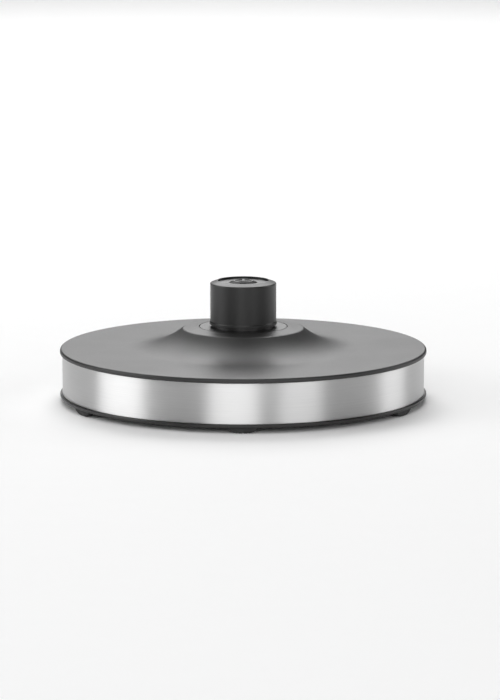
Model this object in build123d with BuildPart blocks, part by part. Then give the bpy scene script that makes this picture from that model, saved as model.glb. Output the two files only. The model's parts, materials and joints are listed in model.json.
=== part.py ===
"""Power base of a cordless electric kettle: a round stand with a central 360 degree connector hub.

Frame: +Z up, origin on the resting plane under the hub's axis. One foot stands at -Y, the front,
and the cord leaves between two feet at the back.
All sizes are in millimetres.
"""

import os
from math import cos, radians, sin, sqrt

from build123d import *

# ---- case: driving dimensions -------------------------------------------------------------
base_radius = 80.0  # outer edge of both plastic lips
lip_overhang = 1.0  # how far the lips stand out past the steel band
foot_height = 2.2  # feet below the lower lip
front_azimuth = 270
cord_azimuth = 60  # where the cord leaves
lip_thickness = 1.5  # lower lip
band_height = 17.4
band_thickness = 0.5
plate_thickness = 2.0  # plastic of the top plate and its rim
plate_edge_radius = 0.9  # rounding of the rim's upper edge
lip_edge_radius = 0.45
wall = 2.0  # other moulded walls
band_wall = 2.2  # wall that the band is wrapped round
ring_fit = 0.1  # radial gap between the band and the wall behind it
seat_gap = 0.05  # vertical gap where two rings meet
embed = 0.2  # how far features of one moulding run into each other
skin = 0.5  # top cover bosses stop this far under the outer surface

# ---- dome of the top cover ----------------------------------------------------------------
dome_foot_radius = 50.0  # where the flat plate starts to rise
shoulder_radius = 26.4
dome_rise = 8.5  # plate to shoulder
plateau_rise = 0.7  # shoulder to connector flange
shoulder_rounding = 1.4
seat_drop = 0.15  # extra thickness of the plateau

# ---- connector hub ------------------------------------------------------------------------
hub_radius = 14.4
hub_height = 20.25  # connector flange to hub rim
hub_wall = 1.6
hub_chamfer_width = 2.9
hub_chamfer_height = 1.1
hub_rim_width = 0.3
hub_edge_radius = 0.5
hub_recess_depth = 0.9
hub_roof = 1.8  # plastic under the recess
bead_height = 1.4  # raised ring at the foot of the hub
bead_proud = 0.3
bead_land = 0.9  # straight foot of the bead
undercut_height = 1.15  # shadow gap under the bead
undercut_depth = 0.6
flange_width = 4.6  # flange past the hub
flange_thickness = 1.9
flange_seam = 0.4
socket_radius = 5.85
socket_wall = 1.25
socket_mouth_radius = 0.3
socket_overlap = 1.0  # socket tube below the top of the guide
connector_depth = 12.35  # flange top to terminal plate top
connector_inset = 1.8  # connector body inside the flange's edge
connector_wall = 1.6

# ---- shutter in the socket ----------------------------------------------------------------
shutter_arms = 3
arm_azimuth = 90  # first arm, away from the front
shutter_stand = 0.8  # shutter's face above the recess
shutter_clearance = 0.3
face_radius = 4.3
head_thickness = 4.0
head_slope = 0.9  # height of the sloping edge round the face
head_rim = 0.6
tip_clearance = 0.5  # from a contact tip to the bottom of its notch in the head
web_width = 1.1  # legs between the head's three pockets
pocket_depth = 2.4
shutter_travel = 8.0
lug_reach = 1.05  # lugs past the socket's bore
lug_height = 1.2
lug_width = 2.4
slot_play = 0.3  # each side of a lug in its slot
stem_radius = 1.9
stem_clearance = 0.15
stem_overlap = 8.0  # stem inside its guide at rest
guide_wall = 1.15
spring_wire_radius = 0.25
spring_turns = 6.0
spring_room = 6.5  # left for the spring when the shutter is pressed

# ---- contacts -----------------------------------------------------------------------------
terminal_plate_thickness = 2.4
terminal_standoff = 1.9  # socket tube to the middle of a terminal
terminal_thickness = 0.8
terminal_width = 6.3
terminal_post = 5.0  # above the terminal plate
terminal_tab = 8.0  # below the terminal plate
terminal_slot_play = 0.05
blade_thickness = 0.4
blade_width = 4.0
blade_gap = 0.02  # blade face to terminal face
blade_lift = 0.8  # blade foot above the terminal plate
nose_standoff = 0.65  # socket bore to the middle of the blade behind its tip
nose_half_height = 1.2
nose_ramp = 2.4  # blade's slope under its nose
nose_lead = 1.2  # bent-back end over its nose
nose_lead_width = 1.9
blade_bend = 0.6
tip_radius = 1.1
tip_length = 1.0
tip_rounding = 0.35
window_play = 0.4
window_top = 3.0  # window above the tip's middle
# name, azimuth in degrees, height of the tip above the terminal plate
contacts = [("live", 30, 17.0), ("neutral", 150, 21.0), ("earth", 270, 25.0)]

# ---- connector fixing ---------------------------------------------------------------------
ear_count = 3
ear_reach = 5.1  # connector body to screw axis
ear_thickness = 2.0
ear_half_width = 3.2
boss_radius = 2.9
screw_radius = 1.45
screw_play = 0.05  # round the shank in its boss
screw_clearance = 0.15  # round the shank in an ear
screw_head_radius = 2.7
screw_head_height = 1.9
screw_length = 10.0
screw_slot_width = 0.8
screw_slot_depth = 0.9
head_taper = 8  # degrees
pilot_play = 0.5  # hole past the screw's end
ring_height = 1.2  # locating ring inside the connector body
ring_wall = 1.4
ring_gap = 0.2

# ---- bottom cover -------------------------------------------------------------------------
rest_ring_width = 10.0  # lower lip to cord trough
trough_height = 11.8  # lip underside to trough roof
spool_radius = 40.0
spool_recess = 0.4  # spool floor above the lip underside
floor_thickness = 1.8
skirt_fit = 0.3
skirt_thickness = 1.6
skirt_gap = 2.1  # skirt above the block round the cord
rib_count = 12
rib_width = 1.4
rib_gap = 1.4  # ribs above the trough's roof
gusset_count = 12
gusset_height = 8.3
trough_rounding = 1.5
trough_mouth_radius = 0.8
cord_lug_length = 10.0
cord_lug_width = 14.0
cord_lug_thickness = 2.0
cord_lug_root = 1.0
cord_lug_corner = 2.5
pillar_radius = 4.4
pillar_inset = 9.0  # spool wall to pillar axis
pillar_height = 9.5  # above the spool floor
pillar_seat = 3.0  # plastic above the screw head
pillar_count = 3
pillar_turn = 60  # first pillar from the cord outlet
case_screw_length = 15.0
case_boss_radius = 3.4
case_head_radius = 2.9
head_play = 0.4

# ---- cord inlet and clamp -----------------------------------------------------------------
cord_hole_radius = 3.6
cord_hole_rise = 0.2  # hole above the spool floor
notch_half_width = 4.2
band_notch_play = 0.3
band_seam = 0.2
clamp_inset = 12.5  # spool wall to the clamp's middle
clamp_half_length = 12.0
clamp_width = 5.0
clamp_thickness = 2.6
clamp_screw_place = 8.5
clamp_boss_radius = 3.0
clamp_boss_height = 5.8
clamp_pilot_floor = 0.4  # plastic under the clamp screws
clamp_corner = 2.0
saddle_width = 3.5
saddle_height = 2.8
clamp_bite = 0.1  # groove radius under the cord hole's
clamp_gap = 0.2
clamp_screw_radius = 1.3
clamp_screw_length = 7.0
clamp_head_height = 1.6
clamp_head_radius = 2.6

# ---- feet ---------------------------------------------------------------------------------
foot_count = 6
foot_inset = 2.0  # foot middle from the lip's edge
foot_length = 12.4
foot_width = 3.0
foot_flat_length = 3.0
foot_tenon_length = 9.0
foot_tenon_width = 1.8
foot_tenon_height = 1.2
foot_fit = 0.05
foot_rounding = 0.6

# ---- places worked out from the sizes ------------------------------------------------------
z_lip = foot_height
z_band = z_lip + lip_thickness
z_band_top = z_band + band_height
z_rim = z_band_top + seat_gap
z_plate = z_rim + plate_thickness
z_shoulder = z_plate + dome_rise
z_flange = z_shoulder + plateau_rise
z_hub_rim = z_flange + hub_height
z_hub_shoulder = z_hub_rim - hub_chamfer_height
z_recess = z_hub_rim - hub_recess_depth
z_hub_roof = z_recess - hub_roof
z_flange_bottom = z_flange - flange_thickness
z_terminals = z_flange - connector_depth
z_plate_bottom = z_terminals - terminal_plate_thickness
z_bead = z_flange + undercut_height
z_shutter = z_recess + shutter_stand
z_head = z_shutter - head_thickness
z_slot_top = z_head + lug_height + seat_gap
z_guide = z_head - shutter_travel - spring_room
z_socket_bottom = z_guide - socket_overlap
z_seat = z_shoulder - plate_thickness - seat_drop  # flat underside of the plateau

band_radius = base_radius - lip_overhang
wall_radius = band_radius - band_thickness - ring_fit
wall_inner = wall_radius - band_wall
skirt_radius = wall_inner - skirt_fit
trough_radius = base_radius - rest_ring_width
z_roof = z_lip + trough_height
z_floor = z_lip + spool_recess
z_inside = z_floor + floor_thickness
z_pillar = z_inside + pillar_height

flange_radius = hub_radius + flange_width
cover_hole = flange_radius + flange_seam
connector_radius = flange_radius - connector_inset
connector_inner = connector_radius - connector_wall
hub_inner = hub_radius - hub_wall
socket_outer = socket_radius + socket_wall
terminal_radius = socket_outer + terminal_standoff
nose_radius = socket_radius + nose_standoff
ear_radius = connector_radius + ear_reach
ear_run = ear_reach + connector_wall / 2
hub_rim_radius = hub_radius - hub_chamfer_width
lug_radius = socket_radius + lug_reach
head_radius = socket_radius - shutter_clearance
tip_face = nose_radius - blade_thickness / 2 - tip_length  # contact tips' faces from the axis

z_cord = z_inside + cord_hole_rise + cord_hole_radius
z_block = z_cord + notch_half_width + wall
z_skirt = z_block + skirt_gap
z_rib = z_roof + wall + rib_gap
foot_place = base_radius - foot_inset
pillar_place = spool_radius - pillar_inset
clamp_place = spool_radius - clamp_inset

# The dome's outer arc is tangent to the plate and passes through the shoulder.
dome_run = dome_foot_radius - shoulder_radius
dome_arc_radius = (dome_run**2 + dome_rise**2) / (2 * dome_rise)
z_dome_centre = z_plate + dome_arc_radius
inner_arc_radius = dome_arc_radius + plate_thickness
seat_radius = dome_foot_radius - sqrt(inner_arc_radius**2 - (z_dome_centre - z_seat) ** 2)


def polar(radius, azimuth, z):
    """Plane at a point given by radius and azimuth, with its x axis pointing outwards."""
    a = radians(azimuth)
    return Plane(
        origin=(radius * cos(a), radius * sin(a), z),
        x_dir=(cos(a), sin(a), 0),
        z_dir=(0, 0, 1),
    )


def upright(azimuth):
    """Vertical plane through the axis, with x outwards and y up."""
    a = radians(azimuth)
    return Plane(origin=(0, 0, 0), x_dir=(cos(a), sin(a), 0), z_dir=(sin(a), -cos(a), 0))


def facing(radius, azimuth):
    """Vertical plane square to a radius, with x along the rim, y up and its normal outwards."""
    a = radians(azimuth)
    return Plane(
        origin=(radius * cos(a), radius * sin(a), 0),
        x_dir=(-sin(a), cos(a), 0),
        z_dir=(cos(a), sin(a), 0),
    )


def ears():
    """Places of the connector screws."""
    return PolarLocations(ear_radius, ear_count, start_angle=arm_azimuth)


def pillars():
    """Places of the case screws."""
    return PolarLocations(pillar_place, pillar_count, start_angle=cord_azimuth + pillar_turn)


def clamp_screw_places():
    """The clamp's two screws, in a plane at the clamp's middle with x outwards."""
    return Locations((0, -clamp_screw_place), (0, clamp_screw_place))


# ---- top cover ----------------------------------------------------------------------------
with BuildPart() as top_cover:
    # Screw bosses, trimmed to the space under the outer surface.
    with BuildSketch(Plane.XY.offset(z_terminals + ear_thickness)):
        with ears():
            Circle(boss_radius)
    extrude(amount=z_seat + embed - z_terminals - ear_thickness)
    with BuildSketch(Plane.XY.offset(z_pillar + seat_gap)):
        with pillars():
            Circle(case_boss_radius)
    extrude(amount=z_shoulder - z_pillar)
    with BuildSketch(Plane.XZ):
        with BuildLine():
            Line((0, 0), (base_radius, 0))
            Line((base_radius, 0), (base_radius, z_plate - skin))
            Line((base_radius, z_plate - skin), (dome_foot_radius, z_plate - skin))
            TangentArc(
                (dome_foot_radius, z_plate - skin),
                (shoulder_radius, z_shoulder - skin),
                tangent=(-1, 0),
            )
            Line((shoulder_radius, z_shoulder - skin), (0, z_shoulder - skin))
            Line((0, z_shoulder - skin), (0, 0))
        make_face()
    revolve(axis=Axis.Z, mode=Mode.INTERSECT)
    # Shell: plateau, dome, plate, rim and the skirt inside the band wall.
    with BuildSketch(Plane.XZ) as cover_profile:
        with BuildLine():
            Line((cover_hole, z_flange), (shoulder_radius, z_shoulder))
            TangentArc(
                (dome_foot_radius, z_plate), (shoulder_radius, z_shoulder), tangent=(-1, 0)
            )
            Line((dome_foot_radius, z_plate), (base_radius, z_plate))
            Line((base_radius, z_plate), (base_radius, z_rim))
            Polyline(
                (base_radius, z_rim),
                (skirt_radius, z_rim),
                (skirt_radius, z_skirt),
                (skirt_radius - skirt_thickness, z_skirt),
                (skirt_radius - skirt_thickness, z_rim),
                (dome_foot_radius, z_rim),
            )
            TangentArc((dome_foot_radius, z_rim), (seat_radius, z_seat), tangent=(-1, 0))
            Line((seat_radius, z_seat), (cover_hole, z_seat))
            Line((cover_hole, z_seat), (cover_hole, z_flange))
        make_face()
        corners = cover_profile.vertices()
        fillet(
            corners.sort_by_distance((shoulder_radius, z_shoulder))[0], shoulder_rounding
        )
        corners = cover_profile.vertices()
        fillet(corners.sort_by_distance((base_radius, z_plate))[0], plate_edge_radius)
        corners = cover_profile.vertices()
        fillet(corners.sort_by_distance((base_radius, z_rim))[0], lip_edge_radius)
    revolve(axis=Axis.Z)
    # Ribs under the plate.
    rib_run = skirt_radius - skirt_thickness - dome_foot_radius
    with BuildSketch(Plane.XY.offset(z_rib)):
        with PolarLocations(dome_foot_radius + rib_run / 2, rib_count):
            Rectangle(rib_run + 2 * embed, rib_width)
    extrude(amount=z_rim + embed - z_rib)
    # Pilot holes.
    with BuildSketch(Plane.XY.offset(z_terminals + ear_thickness)):
        with ears():
            Circle(screw_radius + screw_play)
    extrude(
        amount=screw_length - terminal_plate_thickness - ear_thickness + pilot_play,
        mode=Mode.SUBTRACT,
    )
    with BuildSketch(Plane.XY.offset(z_pillar)):
        with pillars():
            Circle(screw_radius + screw_play)
    extrude(amount=case_screw_length - pillar_seat + pilot_play, mode=Mode.SUBTRACT)
top_cover.part.label = "top_cover"

# ---- bottom cover --------------------------------------------------------------------------
with BuildPart() as bottom_cover:
    with BuildSketch(Plane.XZ) as floor_profile:
        with BuildLine():
            Polyline(
                (base_radius, z_lip),
                (base_radius, z_band),
                (wall_radius, z_band),
                (wall_radius, z_band_top),
                (wall_inner, z_band_top),
                (wall_inner, z_band),
                (trough_radius + wall, z_band),
                (trough_radius + wall, z_roof + wall),
                (spool_radius - wall, z_roof + wall),
                (spool_radius - wall, z_inside),
                (0, z_inside),
                (0, z_floor),
                (spool_radius, z_floor),
                (spool_radius, z_roof),
                (trough_radius, z_roof),
                (trough_radius, z_lip),
                close=True,
            )
        make_face()
        for corner, radius in (
            ((base_radius, z_lip), lip_edge_radius),
            ((base_radius, z_band), lip_edge_radius),
            ((trough_radius, z_lip), trough_mouth_radius),
            ((trough_radius, z_roof), trough_rounding),
            ((spool_radius, z_roof), trough_rounding),
            ((trough_radius + wall, z_roof + wall), trough_rounding),
        ):
            fillet(floor_profile.vertices().sort_by_distance(corner)[0], radius)
    revolve(axis=Axis.Z)
    # Lugs that hold the wound cord on the spool.
    with BuildSketch(Plane.XY.offset(z_floor)):
        lug_middle = spool_radius + (cord_lug_length - cord_lug_root) / 2
        with PolarLocations(lug_middle, pillar_count, start_angle=cord_azimuth + pillar_turn):
            RectangleRounded(cord_lug_length + cord_lug_root, cord_lug_width, cord_lug_corner)
    extrude(amount=cord_lug_thickness)
    # Screw pillars and the cord clamp's two bosses and saddle.
    with BuildSketch(Plane.XY.offset(z_inside - embed)):
        with pillars():
            Circle(pillar_radius)
    extrude(amount=pillar_height + embed)
    with BuildSketch(polar(clamp_place, cord_azimuth, z_inside - embed)):
        with clamp_screw_places():
            Circle(clamp_boss_radius)
    extrude(amount=clamp_boss_height + embed)
    with BuildSketch(polar(clamp_place, cord_azimuth, z_inside - embed)):
        Rectangle(saddle_width, 2 * clamp_screw_place)
    extrude(amount=saddle_height)
    # Gussets between the cord trough and the band wall.
    gusset_run = wall_inner - trough_radius - wall
    gusset_middle = trough_radius + wall + gusset_run / 2
    with BuildSketch(Plane.XY.offset(z_band - embed)):
        with PolarLocations(gusset_middle, gusset_count, start_angle=180 / gusset_count):
            Rectangle(gusset_run + 2 * embed, rib_width)
    extrude(amount=gusset_height)
    # Block between the same walls that the cord passes through.
    with BuildSketch(facing(trough_radius + wall / 2, cord_azimuth)):
        with Locations((0, z_lip)):
            Rectangle(
                2 * (notch_half_width + wall),
                z_block - z_lip,
                align=(Align.CENTER, Align.MIN),
            )
    extrude(amount=wall_radius - trough_radius - wall)
    # Recesses for the case screws.
    with BuildSketch(Plane.XY.offset(z_floor)):
        with pillars():
            Circle(case_head_radius + head_play)
    extrude(amount=z_pillar - pillar_seat - z_floor, mode=Mode.SUBTRACT)
    with BuildSketch(Plane.XY.offset(z_floor)):
        with pillars():
            Circle(screw_radius + screw_clearance)
    extrude(amount=z_pillar - z_floor, mode=Mode.SUBTRACT)
    with BuildSketch(polar(clamp_place, cord_azimuth, z_inside + clamp_boss_height)):
        with clamp_screw_places():
            Circle(clamp_screw_radius + screw_play)
    extrude(amount=clamp_pilot_floor - clamp_boss_height, mode=Mode.SUBTRACT)
    # Cord hole through the spool wall and groove through the saddle.
    with BuildSketch(facing(clamp_place - clamp_width, cord_azimuth)):
        with Locations((0, z_cord)):
            Circle(cord_hole_radius)
    extrude(amount=clamp_inset + 2 * clamp_width, mode=Mode.SUBTRACT)
    # Arched notch where the cord leaves, through the rest ring, the wall and the lip.
    with BuildSketch(facing(trough_radius - embed, cord_azimuth)):
        with Locations((0, z_cord)):
            Circle(notch_half_width)
        with Locations((0, z_cord / 2)):
            Rectangle(2 * notch_half_width, z_cord)
    extrude(amount=rest_ring_width + 2 * embed, mode=Mode.SUBTRACT)
    # Pockets for the feet.
    with BuildSketch(Plane.XY.offset(z_lip)):
        with PolarLocations(foot_place, foot_count, start_angle=front_azimuth):
            Rectangle(foot_tenon_width + 2 * foot_fit, foot_tenon_length + 2 * foot_fit)
    extrude(amount=foot_tenon_height + foot_fit, mode=Mode.SUBTRACT)
bottom_cover.part.label = "bottom_cover"

# ---- steel band -----------------------------------------------------------------------------
with BuildPart() as trim_band:
    with BuildSketch(Plane.XY.offset(z_band)):
        Circle(band_radius)
        Circle(band_radius - band_thickness, mode=Mode.SUBTRACT)
    extrude(amount=band_height)
    # Notch for the cord, and the open seam above it.
    with BuildSketch(facing(trough_radius, cord_azimuth)):
        with Locations((0, z_cord)):
            Circle(notch_half_width + band_notch_play)
        with Locations((0, z_cord / 2)):
            Rectangle(2 * (notch_half_width + band_notch_play), z_cord)
        with Locations((0, (z_cord + z_plate) / 2)):
            Rectangle(band_seam, z_plate - z_cord)
    extrude(amount=rest_ring_width, mode=Mode.SUBTRACT)
trim_band.part.label = "trim_band"

# ---- connector housing: hub, flange and body ---------------------------------------------------
with BuildPart() as connector_housing:
    with BuildSketch(Plane.XZ) as hub_profile:
        with BuildLine():
            Polyline(
                (socket_radius, z_socket_bottom),
                (socket_radius, z_recess),
                (hub_rim_radius - hub_rim_width, z_recess),
                (hub_rim_radius - hub_rim_width, z_hub_rim),
                (hub_rim_radius, z_hub_rim),
                (hub_radius, z_hub_shoulder),
                (hub_radius, z_bead + bead_height),
                (hub_radius + bead_proud, z_bead + bead_land),
                (hub_radius + bead_proud, z_bead),
                (hub_radius - undercut_depth, z_bead),
                (hub_radius - undercut_depth, z_flange),
                (flange_radius, z_flange),
                (flange_radius, z_flange_bottom),
                (connector_radius, z_flange_bottom),
                (connector_radius, z_terminals),
                (connector_inner, z_terminals),
                (connector_inner, z_flange_bottom),
                (hub_inner, z_flange_bottom),
                (hub_inner, z_hub_roof),
                (socket_outer, z_hub_roof),
                (socket_outer, z_socket_bottom),
                close=True,
            )
        make_face()
        for corner, radius in (
            ((hub_radius, z_hub_shoulder), hub_edge_radius),
            ((hub_rim_radius, z_hub_rim), hub_rim_width / 2),
            ((hub_radius + bead_proud, z_bead), bead_proud / 2),
            ((socket_radius, z_recess), socket_mouth_radius),
        ):
            fillet(hub_profile.vertices().sort_by_distance(corner)[0], radius)
    revolve(axis=Axis.Z)
    # Ears for the connector screws.
    with BuildSketch(Plane.XY.offset(z_terminals)):
        with PolarLocations(ear_radius - ear_run / 2, ear_count, start_angle=arm_azimuth):
            Rectangle(ear_run, 2 * ear_half_width)
        with ears():
            Circle(ear_half_width)
    extrude(amount=ear_thickness)
    with BuildSketch(Plane.XY.offset(z_terminals)):
        with ears():
            Circle(screw_radius + screw_clearance)
    extrude(amount=ear_thickness, mode=Mode.SUBTRACT)
    # Slots in the socket tube for the shutter's lugs.
    with BuildSketch(Plane.XY.offset(z_slot_top)):
        for arm in range(shutter_arms):
            with Locations(polar(socket_outer, arm_azimuth + arm * 360 / shutter_arms, 0)):
                Rectangle(2 * (socket_wall + embed), lug_width + 2 * slot_play)
    extrude(amount=z_socket_bottom - z_slot_top, mode=Mode.SUBTRACT)
    # Windows in the socket tube for the contact blades.
    for name, azimuth, rise in contacts:
        top = z_terminals + rise + window_top
        with BuildSketch(Plane.XY.offset(top)):
            with Locations(polar(socket_outer, azimuth, 0)):
                Rectangle(2 * (socket_wall + embed), blade_width + 2 * window_play)
        extrude(amount=z_socket_bottom - top, mode=Mode.SUBTRACT)
connector_housing.part.label = "connector_housing"

# ---- terminal plate that closes the connector ---------------------------------------------------
with BuildPart() as terminal_plate:
    with BuildSketch(Plane.XY.offset(z_plate_bottom)):
        Circle(connector_radius)
        with PolarLocations(ear_radius - ear_run / 2, ear_count, start_angle=arm_azimuth):
            Rectangle(ear_run, 2 * ear_half_width)
        with ears():
            Circle(ear_half_width)
    extrude(amount=terminal_plate_thickness)
    # Locating ring inside the housing, and the shutter's guide tube.
    with BuildSketch(Plane.XY.offset(z_terminals)):
        Circle(connector_inner - ring_gap)
        Circle(connector_inner - ring_gap - ring_wall, mode=Mode.SUBTRACT)
    extrude(amount=ring_height)
    with BuildSketch(Plane.XY.offset(z_terminals)):
        Circle(stem_radius + stem_clearance + guide_wall)
    extrude(amount=z_guide - z_terminals)
    with BuildSketch(Plane.XY.offset(z_plate_bottom)):
        Circle(stem_radius + stem_clearance)
        with ears():
            Circle(screw_radius + screw_clearance)
    extrude(amount=z_guide - z_plate_bottom, mode=Mode.SUBTRACT)
    with BuildSketch(Plane.XY.offset(z_plate_bottom)):
        for name, azimuth, rise in contacts:
            with Locations(polar(terminal_radius, azimuth, 0)):
                Rectangle(
                    terminal_thickness + 2 * terminal_slot_play,
                    terminal_width + 2 * terminal_slot_play,
                )
    extrude(amount=terminal_plate_thickness, mode=Mode.SUBTRACT)
terminal_plate.part.label = "terminal_plate"

# ---- shutter -------------------------------------------------------------------------------------
with BuildPart() as shutter:
    with BuildSketch(Plane.XZ):
        Polygon(
            (0, z_head),
            (head_radius, z_head),
            (head_radius, z_shutter - head_slope),
            (face_radius, z_shutter),
            (0, z_shutter),
            align=None,
        )
    revolve(axis=Axis.Z)
    # Notches that pass over the contact tips.
    with BuildSketch(Plane.XY.offset(z_head)):
        for name, azimuth, rise in contacts:
            with Locations(polar(tip_face - tip_clearance, azimuth, 0)):
                Rectangle(
                    socket_radius,
                    2 * (tip_radius + window_play),
                    align=(Align.MIN, Align.CENTER),
                )
    extrude(amount=head_thickness, mode=Mode.SUBTRACT)
    # Pockets that leave a rim and a three-legged web.
    with BuildSketch(Plane.XY.offset(z_shutter)):
        Circle(face_radius - head_rim)
        for arm in range(shutter_arms):
            with Locations(polar(face_radius / 2, arm_azimuth + arm * 360 / shutter_arms, 0)):
                Rectangle(face_radius, web_width, mode=Mode.SUBTRACT)
    extrude(amount=-pocket_depth, mode=Mode.SUBTRACT)
    # Lugs that run in the socket's slots, and the stem.
    with BuildSketch(Plane.XY.offset(z_head)):
        for arm in range(shutter_arms):
            with Locations(polar(lug_radius / 2, arm_azimuth + arm * 360 / shutter_arms, 0)):
                Rectangle(lug_radius, lug_width)
    extrude(amount=lug_height)
    with BuildSketch(Plane.XY.offset(z_head)):
        Circle(stem_radius)
    extrude(amount=z_guide - stem_overlap - z_head)
shutter.part.label = "shutter"

# ---- shutter spring ------------------------------------------------------------------------------
spring_radius = stem_radius + stem_clearance + guide_wall / 2
spring_start = z_guide + spring_wire_radius + seat_gap
spring_rise = z_head - z_guide - 2 * (spring_wire_radius + seat_gap)
with BuildPart() as shutter_spring:
    with BuildLine() as coil:
        Helix(
            pitch=spring_rise / spring_turns,
            height=spring_rise,
            radius=spring_radius,
            center=(0, 0, spring_start),
        )
    with BuildSketch(Plane(origin=coil.line @ 0, z_dir=coil.line % 0)):
        Circle(spring_wire_radius)
    sweep(path=coil.line, is_frenet=True)
shutter_spring.part.label = "shutter_spring"

# ---- screws ---------------------------------------------------------------------------------------
with BuildPart() as connector_screws:
    with BuildSketch(Plane.XY.offset(z_plate_bottom)):
        with ears():
            Circle(screw_radius)
    extrude(amount=screw_length)
    with BuildSketch(Plane.XY.offset(z_plate_bottom)):
        with ears():
            Circle(screw_head_radius)
    extrude(amount=-screw_head_height, taper=head_taper)
    with BuildSketch(Plane.XY.offset(z_plate_bottom - screw_head_height)):
        with ears():
            Rectangle(screw_head_radius, screw_slot_width)
            Rectangle(screw_slot_width, screw_head_radius)
    extrude(amount=screw_slot_depth, mode=Mode.SUBTRACT)
connector_screws.part.label = "connector_screws"

z_case_head = z_pillar - pillar_seat
with BuildPart() as case_screws:
    with BuildSketch(Plane.XY.offset(z_case_head)):
        with pillars():
            Circle(screw_radius)
    extrude(amount=case_screw_length)
    with BuildSketch(Plane.XY.offset(z_case_head)):
        with pillars():
            Circle(case_head_radius)
    extrude(amount=-screw_head_height, taper=head_taper)
    with BuildSketch(Plane.XY.offset(z_case_head - screw_head_height)):
        with pillars():
            Rectangle(case_head_radius, screw_slot_width)
            Rectangle(screw_slot_width, case_head_radius)
    extrude(amount=screw_slot_depth, mode=Mode.SUBTRACT)
case_screws.part.label = "case_screws"

# ---- cord clamp -----------------------------------------------------------------------------------
z_clamp = z_inside + clamp_boss_height + clamp_gap
with BuildPart() as cord_clamp:
    with BuildSketch(polar(clamp_place, cord_azimuth, z_clamp)):
        RectangleRounded(clamp_width, 2 * clamp_half_length, clamp_corner)
    extrude(amount=clamp_thickness)
    with BuildSketch(polar(clamp_place, cord_azimuth, z_clamp)):
        with clamp_screw_places():
            Circle(clamp_screw_radius + screw_clearance)
    extrude(amount=clamp_thickness, mode=Mode.SUBTRACT)
    with BuildSketch(facing(clamp_place - clamp_width, cord_azimuth)):
        with Locations((0, z_cord)):
            Circle(cord_hole_radius - clamp_bite)
    extrude(amount=2 * clamp_width, mode=Mode.SUBTRACT)
cord_clamp.part.label = "cord_clamp"

z_clamp_head = z_clamp + clamp_thickness
with BuildPart() as clamp_screws:
    with BuildSketch(polar(clamp_place, cord_azimuth, z_clamp_head)):
        with clamp_screw_places():
            Circle(clamp_screw_radius)
    extrude(amount=-clamp_screw_length)
    with BuildSketch(polar(clamp_place, cord_azimuth, z_clamp_head)):
        with clamp_screw_places():
            Circle(clamp_head_radius)
    extrude(amount=clamp_head_height, taper=head_taper)
    with BuildSketch(polar(clamp_place, cord_azimuth, z_clamp_head + clamp_head_height)):
        with clamp_screw_places():
            Rectangle(clamp_head_radius, screw_slot_width)
            Rectangle(screw_slot_width, clamp_head_radius)
    extrude(amount=-screw_slot_depth, mode=Mode.SUBTRACT)
clamp_screws.part.label = "clamp_screws"

pieces = [
    top_cover,
    bottom_cover,
    trim_band,
    connector_housing,
    terminal_plate,
    shutter,
    shutter_spring,
    connector_screws,
    case_screws,
    cord_clamp,
    clamp_screws,
]

# ---- three contacts: a terminal, a sprung blade and its tip ------------------------------------------
blade_radius = terminal_radius + terminal_thickness / 2 + blade_gap + blade_thickness / 2
for name, azimuth, rise in contacts:
    z_tip = z_terminals + rise
    with BuildPart() as terminal:
        with BuildSketch(Plane.XY.offset(z_plate_bottom - terminal_tab)):
            with Locations(polar(terminal_radius, azimuth, 0)):
                Rectangle(terminal_thickness, terminal_width)
        extrude(amount=terminal_tab + terminal_plate_thickness + terminal_post)
    terminal.part.label = f"{name}_terminal"

    with BuildPart() as blade:
        with BuildSketch(upright(azimuth)):
            with BuildLine():
                FilletPolyline(
                    (blade_radius, z_terminals + blade_lift),
                    (blade_radius, z_tip - nose_half_height - nose_ramp),
                    (nose_radius, z_tip - nose_half_height),
                    (nose_radius, z_tip + nose_half_height),
                    (nose_radius + nose_lead_width, z_tip + nose_half_height + nose_lead),
                    radius=blade_bend,
                )
            trace(line_width=blade_thickness)
        extrude(amount=blade_width / 2, both=True)
    blade.part.label = f"{name}_blade"

    tip_back = nose_radius - blade_thickness / 2
    with BuildPart() as tip:
        with BuildSketch(facing(tip_back, azimuth)):
            with Locations((0, z_tip)):
                Circle(tip_radius)
        extrude(amount=-tip_length)
        fillet(tip.faces().sort_by_distance((0, 0, z_tip))[0].edges(), tip_rounding)
    tip.part.label = f"{name}_contact_tip"
    pieces += [terminal, blade, tip]

# ---- rubber feet --------------------------------------------------------------------------------------
for number in range(foot_count):
    azimuth = front_azimuth + number * 360 / foot_count
    outwards = Axis((0, 0, 0), (cos(radians(azimuth)), sin(radians(azimuth)), 0))
    with BuildPart() as foot:
        with BuildSketch(facing(foot_place - foot_width / 2, azimuth)):
            with BuildLine():
                Line((-foot_flat_length / 2, 0), (foot_flat_length / 2, 0))
                TangentArc((foot_flat_length / 2, 0), (foot_length / 2, z_lip), tangent=(1, 0))
                Line((foot_length / 2, z_lip), (-foot_length / 2, z_lip))
                TangentArc((-foot_flat_length / 2, 0), (-foot_length / 2, z_lip), tangent=(-1, 0))
            make_face()
        extrude(amount=foot_width)
        sides = foot.faces().sort_by(outwards)
        long_edges = sides[0].edges() + sides[-1].edges()
        fillet(long_edges.filter_by(lambda e: e.center().Z < z_lip - foot_fit), foot_rounding)
        with BuildSketch(polar(foot_place, azimuth, z_lip)):
            Rectangle(foot_tenon_width, foot_tenon_length)
        extrude(amount=foot_tenon_height)
    foot.part.label = f"foot_{number + 1}"
    pieces.append(foot)

# ---- files ---------------------------------------------------------------------------------------------
os.makedirs("parts", exist_ok=True)
for piece in pieces:
    export_step(piece.part, f"parts/{piece.part.label}.step")
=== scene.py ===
"""Power base of a cordless kettle: finishes, detailed pieces, studio and camera."""

import json
import math

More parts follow.
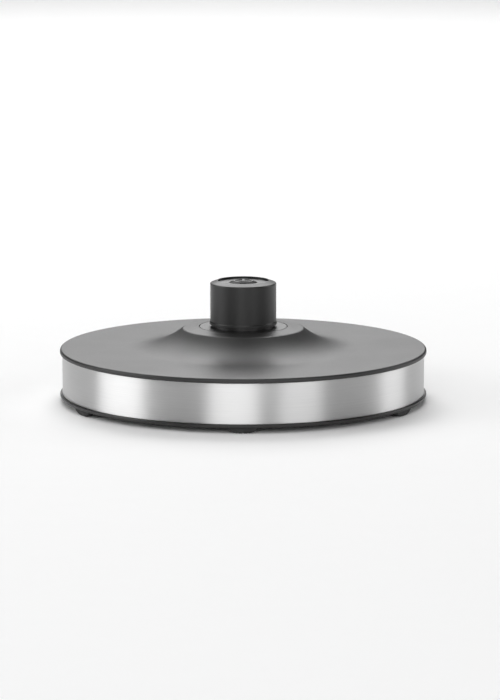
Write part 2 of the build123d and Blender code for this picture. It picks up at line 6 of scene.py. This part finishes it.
import bmesh
import bpy
import numpy as np
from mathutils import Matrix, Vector


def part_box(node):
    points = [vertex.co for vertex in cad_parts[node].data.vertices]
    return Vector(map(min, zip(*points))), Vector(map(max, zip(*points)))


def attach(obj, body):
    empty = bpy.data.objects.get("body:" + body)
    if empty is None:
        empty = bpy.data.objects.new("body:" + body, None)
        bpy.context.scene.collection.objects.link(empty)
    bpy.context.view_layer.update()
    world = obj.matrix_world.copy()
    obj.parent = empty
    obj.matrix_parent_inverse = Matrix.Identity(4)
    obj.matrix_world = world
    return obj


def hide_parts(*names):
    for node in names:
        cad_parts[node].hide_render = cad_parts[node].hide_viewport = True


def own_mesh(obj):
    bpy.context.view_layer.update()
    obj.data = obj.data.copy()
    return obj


MM = 0.001

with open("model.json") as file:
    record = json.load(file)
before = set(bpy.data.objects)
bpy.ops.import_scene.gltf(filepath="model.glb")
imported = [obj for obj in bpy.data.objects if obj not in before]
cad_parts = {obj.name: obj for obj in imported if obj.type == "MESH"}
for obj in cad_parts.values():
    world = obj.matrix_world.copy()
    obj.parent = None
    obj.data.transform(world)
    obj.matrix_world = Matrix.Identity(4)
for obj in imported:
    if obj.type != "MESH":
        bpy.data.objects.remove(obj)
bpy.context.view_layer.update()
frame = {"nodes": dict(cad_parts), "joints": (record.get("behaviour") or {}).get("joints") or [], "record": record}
nodes = frame["nodes"]


# ---- finishes -----------------------------------------------------------------------------
class Value:
    """The output of a node. Arithmetic on it adds Math nodes, with numbers on either side."""

    def __init__(self, finish, socket):
        self.finish = finish
        self.socket = socket

    def math(self, operation, *values):
        sockets = dict(enumerate(values))
        return self.finish.node("ShaderNodeMath", {"operation": operation}, sockets)

    def __add__(self, other):
        return self.math("ADD", self, other)

    def __sub__(self, other):
        return self.math("SUBTRACT", self, other)

    def __rsub__(self, other):
        return self.math("SUBTRACT", other, self)

    def __mul__(self, other):
        return self.math("MULTIPLY", self, other)

    __radd__ = __add__
    __rmul__ = __mul__


class Finish:
    """A material with one Principled shader: constants are set on it, and nodes vary the rest."""

    def __init__(self, name, **constants):
        self.material = bpy.data.materials.new(name)
        self.material.use_nodes = True
        self.tree = self.material.node_tree
        self.shader = self.tree.nodes["Principled BSDF"]
        for words, number in constants.items():
            self.shader.inputs[words.replace("_", " ")].default_value = number

    def node(self, kind, settings=None, sockets=None, output=0):
        """Adds a node: its settings first, then the values or links of its sockets."""
        node = self.tree.nodes.new(kind)
        for word, setting in (settings or {}).items():
            if word == "stops":
                ramp = node.color_ramp.elements
                while len(ramp) < len(setting):
                    ramp.new(1.0)
                for stop, (place, grey) in zip(ramp, setting):
                    stop.position = place
                    stop.color = (grey, grey, grey, 1)
            else:
                setattr(node, word, setting)
        for word, value in (sockets or {}).items():
            self.put(node.inputs[word], value)
        return Value(self, node.outputs[output])

    def put(self, socket, value):
        if isinstance(value, Value):
            self.tree.links.new(value.socket, socket)
        else:
            socket.default_value = value

    def vary(self, **values):
        """Links what changes over the surface to the shader."""
        for words, value in values.items():
            self.put(self.shader.inputs[words.replace("_", " ")], value)

    def place(self):
        """Position on the piece, in metres."""
        return self.node("ShaderNodeTexCoord", output="Object")

    def stretched(self, scale):
        """Position with each axis multiplied by its own scale."""
        return self.node(
            "ShaderNodeVectorMath", {"operation": "MULTIPLY"}, {0: self.place(), 1: scale}
        )

    def noise(self, scale, detail=3.0, rough=0.5, at=None):
        """Cloudy noise from 0 to 1. scale is in features per metre, or per unit of at."""
        at = at or self.place()
        sockets = {"Vector": at, "Scale": scale, "Detail": detail, "Roughness": rough}
        return self.node("ShaderNodeTexNoise", {}, sockets)

    def ramp(self, value, *stops):
        """Grey from a value, by stops of (value, grey)."""
        return self.node("ShaderNodeValToRGB", {"stops": stops}, {"Fac": value})

    def blend(self, share, low, high):
        """Colour from low to high by a share from 0 to 1."""
        sockets = {"Factor": share, 6: (*low, 1), 7: (*high, 1)}
        return self.node("ShaderNodeMix", {"data_type": "RGBA"}, sockets, 2)

    def bump(self, height, depth):
        """Normal of a surface raised by height times depth, in metres."""
        sockets = {"Height": height, "Distance": depth, "Strength": 1.0}
        return self.node("ShaderNodeBump", {}, sockets)


def moulded(name, dark, light, rough, grain=1600.0, depth=0.000012):
    """Moulded plastic: a fine grain from the tool, faint clouding and finger-dulled patches."""
    finish = Finish(name, IOR=1.5)
    grain_height = finish.noise(grain, 2.0, 0.6)
    clouds = finish.noise(28.0, 4.0, 0.6)
    finish.vary(
        Base_Color=finish.blend(clouds * 0.6 + grain_height * 0.4, dark, light),
        Roughness=rough + (clouds - 0.5) * 0.10 + (grain_height - 0.5) * 0.12,
        Normal=finish.bump(grain_height, depth),
    )
    return finish.material


def brushed_band():
    """Stainless strip with streaks that are long round the band and thin across it."""
    finish = Finish("brushed_band", Metallic=1.0, Anisotropic=0.95, Anisotropic_Rotation=0.25)
    fine = finish.noise(1.0, 3.0, 0.6, finish.stretched((90, 90, 14000)))
    broad = finish.noise(1.0, 2.0, 0.5, finish.stretched((25, 25, 2200)))
    smears = finish.noise(35.0, 3.0, 0.6)
    streaks = fine * 0.65 + broad * 0.35
    finish.vary(
        Base_Color=finish.blend(streaks, (0.56, 0.56, 0.565), (0.74, 0.74, 0.735)),
        Roughness=0.30 + streaks * 0.14 + smears * 0.05,
        Normal=finish.bump(streaks, 0.000006),
    )
    return finish.material


def metal(name, low, high, rough, grain=900.0, depth=0.00001):
    """Bare metal with a drawn or rolled surface."""
    finish = Finish(name, Metallic=1.0)
    marks = finish.noise(grain, 4.0, 0.65)
    tarnish = finish.noise(160.0, 3.0, 0.6)
    finish.vary(
        Base_Color=finish.blend(tarnish, low, high),
        Roughness=rough + (marks - 0.5) * 0.2,
        Normal=finish.bump(marks, depth),
    )
    return finish.material


def rubber():
    """Soft black rubber, slightly dusty."""
    finish = Finish("foot_rubber", IOR=1.5)
    skin = finish.noise(2400.0, 3.0, 0.6)
    dust = finish.ramp(finish.noise(320.0, 4.0, 0.7), (0.45, 0.0), (0.8, 1.0))
    finish.vary(
        Base_Color=finish.blend(dust, (0.012,) * 3, (0.04,) * 3),
        Roughness=0.62 + skin * 0.18,
        Normal=finish.bump(skin, 0.00002),
    )
    return finish.material


finishes = {
    "cover_plastic": moulded("cover_plastic", (0.012,) * 3, (0.019,) * 3, 0.46),
    "base_plastic": moulded("base_plastic", (0.007,) * 3, (0.012,) * 3, 0.38),
    "hub_plastic": moulded("hub_plastic", (0.006,) * 3, (0.011,) * 3, 0.38, 1900.0, 0.00001),
    "shutter_plastic": moulded("shutter_plastic", (0.04,) * 3, (0.06,) * 3, 0.4),
    "clamp_plastic": moulded("clamp_plastic", (0.016,) * 3, (0.026,) * 3, 0.5),
    "terminal_plastic": moulded("terminal_plastic", (0.55, 0.53, 0.48), (0.66, 0.64, 0.58), 0.45),
    "foot_rubber": rubber(),
    "brushed_steel": brushed_band(),
    "screw_steel": metal("screw_steel", (0.42, 0.42, 0.40), (0.56, 0.56, 0.53), 0.32),
    "spring_steel": metal("spring_steel", (0.40,) * 3, (0.52,) * 3, 0.28),
    "terminal_brass": metal("terminal_brass", (0.66, 0.49, 0.22), (0.78, 0.60, 0.30), 0.3),
    "blade_bronze": metal("blade_bronze", (0.62, 0.37, 0.21), (0.76, 0.48, 0.28), 0.3),
    "contact_silver": metal("contact_silver", (0.74, 0.73, 0.70), (0.86, 0.85, 0.82), 0.3),
}

for part in frame["record"]["subparts"]:
    for place in nodes[part["node"]].material_slots:
        place.material = finishes[part["material_slot"]]


# ---- shapes, in millimetres -----------------------------------------------------------------
MERGE_DISTANCE = 0.001
SHARP_ANGLE = 38  # degrees
FLAT_LEAD = 0.3  # flat beside an arc, in radii of the arc


def node_box(node):
    """Lowest and highest corner of a CAD node."""
    return np.array(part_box(node)) / MM


def rounded(corners, radii, steps=6):
    """Closed outline through corners, each turned on an arc of its own radius.

    An arc starts radius * tan(turn / 2) before its corner. Its points are the start turned about
    the arc's centre by equal shares of the turn. A point stands a little before and after each arc,
    so that the flats stay flat when shaded.
    """
    corners = np.array(corners, float)
    radii = np.broadcast_to(np.array(radii, float), len(corners))[:, None]
    ahead = np.roll(corners, -1, 0) - corners
    ahead /= np.linalg.norm(ahead, axis=1)[:, None]
    behind = np.roll(ahead, 1, 0)
    turn = np.arctan2(
        behind[:, 0] * ahead[:, 1] - behind[:, 1] * ahead[:, 0], (behind * ahead).sum(1)
    )[:, None]
    reach = radii * np.tan(np.abs(turn) / 2)
    start = corners - behind * reach
    inwards = np.stack([-behind[:, 1], behind[:, 0]], 1) * np.sign(turn)
    centre = start + inwards * radii
    angle = turn * np.linspace(0, 1, steps + 1)
    arm = (start - centre)[:, None, :]
    across = np.stack([-arm[..., 1], arm[..., 0]], -1)
    arc = centre[:, None] + arm * np.cos(angle)[..., None] + across * np.sin(angle)[..., None]
    lead = FLAT_LEAD * radii
    before, after = start - behind * lead, corners + ahead * (reach + lead)
    return np.concatenate([before[:, None], arc, after[:, None]], 1).reshape(-1, 2)


def turned(outline, columns=96):
    """Grid of an outline of (radius, height) turned round the Z axis, a row for each point."""
    angle = np.linspace(0, 2 * np.pi, columns, endpoint=False)
    radius, height = outline[:, :1], outline[:, 1:]
    return np.stack([radius * np.cos(angle), radius * np.sin(angle), height + 0 * angle], -1)


def placed(grid, azimuth, radius=0.0, height=0.0):
    """Grid turned by an azimuth about Z and moved out to a radius and up to a height."""
    c, s = math.cos(math.radians(azimuth)), math.sin(math.radians(azimuth))
    x, y = grid[..., 0] + radius, grid[..., 1]
    return np.stack([x * c - y * s, x * s + y * c, grid[..., 2] + height], -1)


class Shape:
    """Closed surfaces gathered into one mesh."""

    def __init__(self):
        self.points = []
        self.faces = []
        self.count = 0

    def add(self, grid, caps=False):
        """Adds a grid of points, rows by columns by 3, whose columns close on themselves.

        The first and last rows have a cap each, or shrink to a pole. The faces are reversed if
        the volume under them comes out negative.
        """
        rows, columns = grid.shape[:2]
        i = np.arange(rows - 1)[:, None]
        j = np.arange(columns)[None, :]
        corners = ((i, j), (i + 1, j), (i + 1, j + 1), (i, j + 1))
        quads = np.stack([a * columns + b % columns for a, b in corners], -1).reshape(-1, 4)
        points = grid.reshape(-1, 3)
        a, b, c, d = (points - points.mean(0))[quads].swapaxes(0, 1)
        volume = np.sum(a * (np.cross(b, c) + np.cross(c, d)))
        faces = (quads + self.count).tolist()
        if caps:
            ring = np.arange(columns) + self.count
            faces += [ring.tolist(), (ring + (rows - 1) * columns)[::-1].tolist()]
        if volume < 0:
            faces = [face[::-1] for face in faces]
        self.faces += faces
        self.points.append(points)
        self.count += len(points)

    def piece(self, name, body, slot, *stands_for):
        """Makes the object: doubles merged at poles and corners, smooth but for its sharp edges."""
        mesh = bpy.data.meshes.new(name)
        mesh.from_pydata((np.concatenate(self.points) * MM).tolist(), [], self.faces)
        merged = bmesh.new()
        merged.from_mesh(mesh)
        bmesh.ops.remove_doubles(merged, verts=merged.verts, dist=MERGE_DISTANCE * MM)
        merged.to_mesh(mesh)
        merged.free()
        mesh.polygons.foreach_set("use_smooth", np.ones(len(mesh.polygons), bool))
        mesh.set_sharp_from_angle(angle=math.radians(SHARP_ANGLE))
        mesh.materials.append(finishes[slot])
        thing = bpy.data.objects.new(name, mesh)
        bpy.context.scene.collection.objects.link(thing)
        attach(thing, body)
        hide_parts(*stands_for)
        return thing


# ---- steel band -----------------------------------------------------------------------------
CORD_AZIMUTH = 60
BAND_THICKNESS = 0.5
BAND_EDGE = 0.2
BAND_SEAM = 0.2
NOTCH_HALF_WIDTH = 4.5
NOTCH_CENTRE = 8.2
ARCH_ROWS = 28
BAND_ROWS = 560
CROWDING = 0.85  # how much closer the rows stand beside the notch


def steel_band():
    """A strip bent into a ring, open at the seam, with its lower edge arched over the cord.

    A rounded section is carried round the ring. Over the cord the section's foot stands at
    centre + sqrt(half width squared - distance from the seam squared), elsewhere at the band's
    foot.
    """
    low, high = node_box("trim_band")
    radius = high[0]
    seam_edge = math.asin(BAND_SEAM / 2 / NOTCH_HALF_WIDTH)
    arch = np.linspace(seam_edge, math.pi / 2, ARCH_ROWS)
    near = NOTCH_HALF_WIDTH * np.sin(arch)
    share = np.linspace(0, 1, BAND_ROWS)
    share -= CROWDING * np.sin(2 * np.pi * share) / (2 * np.pi)
    length = 2 * np.pi * radius
    far = NOTCH_HALF_WIDTH + (length - 2 * NOTCH_HALF_WIDTH) * share
    run = np.concatenate([near, far, length - near[::-1]])
    arched = NOTCH_CENTRE + NOTCH_HALF_WIDTH * np.cos(arch)
    foot = np.concatenate([arched, np.full(len(far), low[2]), arched[::-1]])[:, None]
    corners = [(0, 0), (BAND_THICKNESS, 0), (BAND_THICKNESS, 1), (0, 1)]
    section = rounded(corners, BAND_EDGE, 4)
    upper = section[:, 1] > 0.5
    height = np.where(upper, high[2] - 1 + section[:, 1], foot + section[:, 1])
    angle = (run / radius + math.radians(CORD_AZIMUTH))[:, None]
    out = radius - BAND_THICKNESS + section[:, 0]
    shape = Shape()
    shape.add(np.stack([out * np.cos(angle), out * np.sin(angle), height], -1), caps=True)
    shape.piece("steel_band", "base", "brushed_steel", "trim_band")


# ---- screws ---------------------------------------------------------------------------------
SHANK_RADIUS = 1.45
CLAMP_SHANK_RADIUS = 1.3
CLAMP_HEAD_RADIUS = 2.6
CLAMP_SCREW_LENGTH = 7.0
CLAMP_SCREW_PLACE = 8.5
HEAD_TAPER = 0.27
HEAD_ROUNDING = 0.35
HEAD_CROWN = 0.18
SEAT_ROUNDING = 0.2
CROSS_HALF_WIDTH = 0.42
CROSS_DEPTH = 0.95
CROSS_EDGE = 0.14
THREAD_PITCH = 1.25
THREAD_DEPTH = 0.38
THREAD_START = 0.9  # middle of the fade under the head
THREAD_FADE = 0.8
THREAD_END = 0.5  # middle of the fade at the point
POINT_SLOPE = 1.2
POINT_SHARE = 0.3  # radius of the point, in shank radii
SCREW_COLUMNS = 72
CROWN_ROWS = 26
ROWS_PER_PITCH = 9


def step(value):
    """Smooth step from 0 to 1 while the value goes from -0.5 to 0.5: t * t * (3 - 2 * t)."""
    t = np.clip(value + 0.5, 0, 1)
    return t * t * (3 - 2 * t)


def screw(shank_radius, head_radius, head_height, length):
    """Pan head screw along Z, head upwards, with its seat at height 0.

    An outline is turned round Z. Its crown sinks by a cross, the larger of two crossed slots,
    each a product of steps of |x| and |y|. A thread's groove, a clipped cosine of
    height / pitch - angle / turn, is cut into its shank, and fades out under the head and at the
    point.
    """
    top_radius = head_radius - HEAD_TAPER
    angle = np.linspace(0, 2 * np.pi, SCREW_COLUMNS, endpoint=False)[None, :]
    crown = np.linspace(0, top_radius - HEAD_ROUNDING, CROWN_ROWS)
    crown_height = head_height - HEAD_CROWN * (crown / top_radius) ** 2
    bend = np.linspace(0, np.pi / 2, 6)[1:]
    edge_radius = top_radius - HEAD_ROUNDING * (1 - np.sin(bend))
    edge_height = crown_height[-1] - HEAD_ROUNDING * (1 - np.cos(bend))
    seat = SEAT_ROUNDING * np.array([1.0, 0.3, 0.0])
    seat_radius = head_radius - seat[::-1]
    down = np.linspace(0, length, int(length / THREAD_PITCH * ROWS_PER_PITCH))
    core = np.minimum(shank_radius, (length - down) * POINT_SLOPE + POINT_SHARE * shank_radius)
    radius = np.concatenate([crown, edge_radius, seat_radius, core, [0.0]])[:, None]
    height = np.concatenate([crown_height, edge_height, seat, -down, [-length]])[:, None]
    x, y = np.abs(radius * np.cos(angle)), np.abs(radius * np.sin(angle))
    half_length = 0.5 * head_radius
    slots = [
        step((half_length - a) / CROSS_EDGE) * step((CROSS_HALF_WIDTH - b) / CROSS_EDGE)
        for a, b in ((x, y), (y, x))
    ]
    on_crown = (np.arange(len(radius)) < len(crown))[:, None]
    sink = CROSS_DEPTH * np.maximum(*slots) * on_crown
    on_shank = (height < 0) & (radius > 0)
    fade = step((-height - THREAD_START) / THREAD_FADE) * step(length + height - THREAD_END)
    phase = 2 * np.pi * height / THREAD_PITCH - angle
    groove = 1 - np.clip(0.35 + 0.9 * np.cos(phase), 0, 1)
    radius = radius - THREAD_DEPTH * groove * fade * on_shank
    return np.stack([radius * np.cos(angle), radius * np.sin(angle), height - sink], -1)


def upside_down(grid):
    """Grid turned half round the X axis."""
    return grid * np.array([1, -1, -1])


def screws():
    """The connector's and the case's three screws, heads down, and the clamp's two, heads up.

    Of three screws, two stand at the same distance from one axis, sin(60) of the ring's radius.
    """
    groups = (
        # node, head radius, length, azimuth of the first screw, axis across that pair
        ("connector_screws", 2.7, 10.0, 90, 0),
        ("case_screws", 2.9, 15.0, 120, 1),
    )
    for node, head_radius, length, azimuth, axis in groups:
        low, high = node_box(node)
        ring = ((high - low)[axis] / 2 - head_radius) / math.sin(math.radians(60))
        head_height = high[2] - low[2] - length
        turned_over = upside_down(screw(SHANK_RADIUS, head_radius, head_height, length))
        shape = Shape()
        for number in range(3):
            turn = azimuth + 120 * number
            shape.add(placed(turned_over, turn, ring, low[2] + head_height))
        shape.piece("threaded_" + node, "base", "screw_steel", node)
    low, high = node_box("clamp_screws")
    head_height = high[2] - low[2] - CLAMP_SCREW_LENGTH
    centre = (low + high) / 2
    ring = math.hypot(centre[0], centre[1])
    one = screw(CLAMP_SHANK_RADIUS, CLAMP_HEAD_RADIUS, head_height, CLAMP_SCREW_LENGTH)
    shape = Shape()
    for side in (-CLAMP_SCREW_PLACE, CLAMP_SCREW_PLACE):
        moved = one + np.array([0, side, 0])
        shape.add(placed(moved, CORD_AZIMUTH, ring, high[2] - head_height))
    shape.piece("threaded_clamp_screws", "base", "screw_steel", "clamp_screws")


# ---- feet -----------------------------------------------------------------------------------
FOOT_LENGTH = 12.4
FOOT_WIDTH = 3.0
FOOT_FLAT = 3.0
FOOT_HEIGHT = 2.2
FOOT_END = 0.03  # thickness of the two ends
FOOT_EDGE = 0.3
FOOT_GROOVE = 0.22
GROOVE_WIDTH = 0.32
GROOVE_PLACES = (-2.1, 0, 2.1)
FOOT_ROWS = 91
TENON = (1.8, 9.0, 1.2)


def foot():
    """Rubber rocker foot along Y, with its middle at the origin.

    Along its length the sole lies flat and then rises on an arc to the cover. Each cross-section is
    a box with rounded lower corners, and three shallow grooves, smooth steps of the distance from
    their middles, cross the sole.
    """
    half = FOOT_LENGTH / 2
    along = half * np.sin(np.linspace(-np.pi / 2, np.pi / 2, FOOT_ROWS))
    run, rise = half - FOOT_FLAT / 2, FOOT_HEIGHT
    arc = (run**2 + rise**2) / (2 * rise)
    past = np.clip(np.abs(along) - FOOT_FLAT / 2, 0, run)
    sole = arc - np.sqrt(arc**2 - past**2)
    depth = np.maximum(FOOT_HEIGHT - sole, FOOT_END)[:, None]
    side = FOOT_WIDTH / 2
    outline = rounded(
        [(-side, 0), (side, 0), (side, 1), (-side, 1)],
        (FOOT_EDGE, FOOT_EDGE, FOOT_EDGE / 10, FOOT_EDGE / 10),
    )
    near = [step(0.5 - np.abs(along - place) / GROOVE_WIDTH) for place in GROOVE_PLACES]
    groove = FOOT_GROOVE * np.sum(near, 0)[:, None]
    low = np.clip(1 - outline[:, 1], 0, 1) ** 3
    height = FOOT_HEIGHT - depth * (1 - outline[:, 1]) + np.minimum(groove, 0.6 * depth) * low
    across = outline[:, 0] + 0 * height
    return np.stack([across, along[:, None] + 0 * height, height], -1)


def tenon():
    """The foot's tongue in its pocket: a rounded box carried upwards."""
    width, length, height = TENON
    x, y = width / 2, length / 2
    outline = rounded([(-x, -y), (x, -y), (x, y), (-x, y)], FOOT_EDGE)
    levels = np.array([-0.25, 0.0, height - 0.15, height])[:, None, None]
    shrink = np.array([1, 1, 1, 0.94])[:, None, None]
    return np.concatenate([outline * shrink, levels + 0 * outline[None, :, :1]], -1)


def feet():
    """Six rubber feet, each turned to its own azimuth, which is that of its CAD node."""
    for number in range(1, 7):
        node = f"foot_{number}"
        low, high = node_box(node)
        middle = (low + high) / 2
        azimuth = math.degrees(math.atan2(middle[1], middle[0]))
        ring = math.hypot(middle[0], middle[1])
        shape = Shape()
        shape.add(placed(foot(), azimuth, ring), caps=True)
        shape.add(placed(tenon(), azimuth, ring, FOOT_HEIGHT), caps=True)
        shape.piece(f"rubber_{node}", "base", "foot_rubber", node)


# ---- contact tips ---------------------------------------------------------------------------
TIP_LENGTH = 1.0
TIP_CROWN = 0.55  # height of the dome
TIP_EDGE = 0.1


def contact_tips():
    """Domed silver rivet heads: a rounded outline turned about a level axis through each tip."""
    for name, azimuth in (("live", 30), ("neutral", 150), ("earth", 270)):
        node = f"{name}_contact_tip"
        low, high = node_box(node)
        middle = (low + high) / 2
        radius = (high[2] - low[2]) / 2
        back = math.hypot(middle[0], middle[1]) + TIP_LENGTH / 2
        dome = np.linspace(0, np.pi / 2, 14)
        rise = TIP_LENGTH - TIP_CROWN * (1 - np.cos(dome))
        crown = np.stack([radius * np.sin(dome), rise], 1)
        rim = [(radius, TIP_EDGE), (radius - TIP_EDGE, 0), (0, 0)]
        outline = np.concatenate([crown, rim])
        button = turned(outline, 40)
        level = np.stack([-button[..., 2], button[..., 1], button[..., 0]], -1)
        shape = Shape()
        shape.add(placed(level, azimuth, back, middle[2]))
        shape.piece(f"{name}_tip", f"{name}_contact", "contact_silver", node)


# ---- shutter spring -------------------------------------------------------------------------
SPRING_WIRE = 0.5
SPRING_TURNS = 8
TIGHT_PITCH = 0.52
TIGHT_TURNS = 1.3  # to the middle of the step to the free pitch
STRIDES_PER_TURN = 40


def coil_spring():
    """Compression spring with a tight turn at each end. How far the shutter presses it is worked out, but the
    spring is not flattened.

    A circle is carried along a helix. Its pitch is tight at the ends and swells in between by the
    product of two smooth steps; its height is the running sum of the pitch over the turns.
    """
    low, high = node_box("shutter_spring")
    radius = high[0] - SPRING_WIRE / 2
    strides = SPRING_TURNS * STRIDES_PER_TURN
    turn, stride = np.linspace(0, SPRING_TURNS, strides + 1, retstep=True)
    swell = step(turn - TIGHT_TURNS) * step(SPRING_TURNS - TIGHT_TURNS - turn)
    rise = high[2] - low[2] - SPRING_WIRE
    spare = rise - TIGHT_PITCH * SPRING_TURNS
    pitch = TIGHT_PITCH + swell * spare / (swell.sum() * stride)
    climb = np.cumsum(pitch[1:] + pitch[:-1]) * stride / 2
    height = low[2] + SPRING_WIRE / 2 + np.concatenate([[0], climb])
    a, around = 2 * np.pi * turn[:, None], np.linspace(0, 2 * np.pi, 14, endpoint=False)
    out, up = SPRING_WIRE / 2 * np.cos(around), SPRING_WIRE / 2 * np.sin(around)
    slope = pitch[:, None] / (2 * np.pi * radius)
    up = up / np.sqrt(1 + slope**2)
    x = (radius + out) * np.cos(a) + up * slope * np.sin(a)
    y = (radius + out) * np.sin(a) - up * slope * np.cos(a)
    shape = Shape()
    shape.add(np.stack([x, y, height[:, None] + up], -1), caps=True)
    spring = shape.piece("coil_spring", "base", "spring_steel", "shutter_spring")
    press = next(joint for joint in frame["joints"] if joint["name"] == "shutter_press")
    keep = 1 - press["range_m"][1] / MM / (high[2] - low[2])
    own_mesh(spring)


steel_band()
screws()
feet()
contact_tips()
coil_spring()


# ---- studio, in metres ----------------------------------------------------------------------
FLOOR_RADIUS = 6
FLOOR_SIDES = 96
WORLD_STRENGTH = 0.03
LIGHT_TARGET = (0, 0, 0.02)


def floor():
    """A round pale floor: a flat disc about the origin."""
    turns = np.linspace(0, 2 * np.pi, FLOOR_SIDES, endpoint=False)
    points = FLOOR_RADIUS * np.stack([np.cos(turns), np.sin(turns), 0 * turns], 1)
    mesh = bpy.data.meshes.new("floor")
    mesh.from_pydata(points.tolist(), [], [list(range(FLOOR_SIDES))])
    disc = bpy.data.objects.new("floor", mesh)
    bpy.context.scene.collection.objects.link(disc)
    finish = Finish("floor_paper", IOR=1.3)
    fibres = finish.noise(60.0, 5.0, 0.6)
    finish.vary(
        Base_Color=finish.blend(fibres, (0.95,) * 3, (0.97,) * 3),
        Roughness=0.85 + fibres * 0.1,
    )
    mesh.materials.append(finish.material)


def aimed(thing, place, at):
    """Puts a light or camera at a place, looking at a point."""
    thing.location = place
    thing.rotation_euler = (Vector(at) - Vector(place)).to_track_quat("-Z", "Y").to_euler()
    bpy.context.scene.collection.objects.link(thing)


def softbox(name, azimuth, elevation, distance, width, height, power):
    """A rectangular light at so many degrees, metres and watts.

    Azimuth 0 is the camera's side, and grows to its right.
    """
    light = bpy.data.lights.new(name, "AREA")
    light.shape = "RECTANGLE"
    light.size = width
    light.size_y = height
    light.energy = power
    a, e = math.radians(azimuth), math.radians(elevation)
    way = Vector((math.sin(a) * math.cos(e), -math.cos(a) * math.cos(e), math.sin(e)))
    box = bpy.data.objects.new(name, light)
    box.visible_camera = False
    aimed(box, Vector(LIGHT_TARGET) + distance * way, LIGHT_TARGET)


floor()
softbox("front_box", -6, 16, 2.4, 1.3, 1.3, 16.9)
softbox("high_front_box", 0, 58, 2.4, 1.5, 1.0, 8.4)
softbox("left_box", -83, 16, 2.0, 1.3, 1.3, 16.6)
softbox("high_left_box", -90, 50, 2.4, 1.5, 1.2, 7.4)
softbox("right_front_box", 36, 16, 2.2, 1.05, 1.2, 9.4)
softbox("right_box", 108, 16, 2.0, 0.9, 1.3, 7.8)
softbox("back_box", 180, 21, 3.3, 0.9, 1.5, 6.3)
softbox("over_box", -176, 41, 2.4, 1.6, 1.5, 30)
softbox("high_back_box", 180, 64, 2.4, 1.9, 1.0, 8)
softbox("far_back_box", 180, 52, 3.9, 2.0, 1.0, 9)

world = bpy.data.worlds.new("studio")
world.use_nodes = True
background = world.node_tree.nodes["Background"]
background.inputs["Color"].default_value = (1, 1, 1, 1)
background.inputs["Strength"].default_value = WORLD_STRENGTH
scene = bpy.context.scene
scene.world = world
scene.view_settings.view_transform = "Standard"
scene.view_settings.look = "None"

# ---- camera -------------------------------------------------------------------------------
AIM = Vector((2.95, 0, 21.74)) * MM
CAMERA_DISTANCE = 1.5965
CAMERA_ELEVATION = math.radians(9.72)
FOCAL_LENGTH = 187.9
SENSOR_WIDTH = 36
lens = bpy.data.cameras.new("camera")
lens.lens = FOCAL_LENGTH
lens.sensor_width = SENSOR_WIDTH
camera = bpy.data.objects.new("camera", lens)
back = Vector((0, -math.cos(CAMERA_ELEVATION), math.sin(CAMERA_ELEVATION)))
aimed(camera, AIM + back * CAMERA_DISTANCE, AIM)
scene.camera = camera
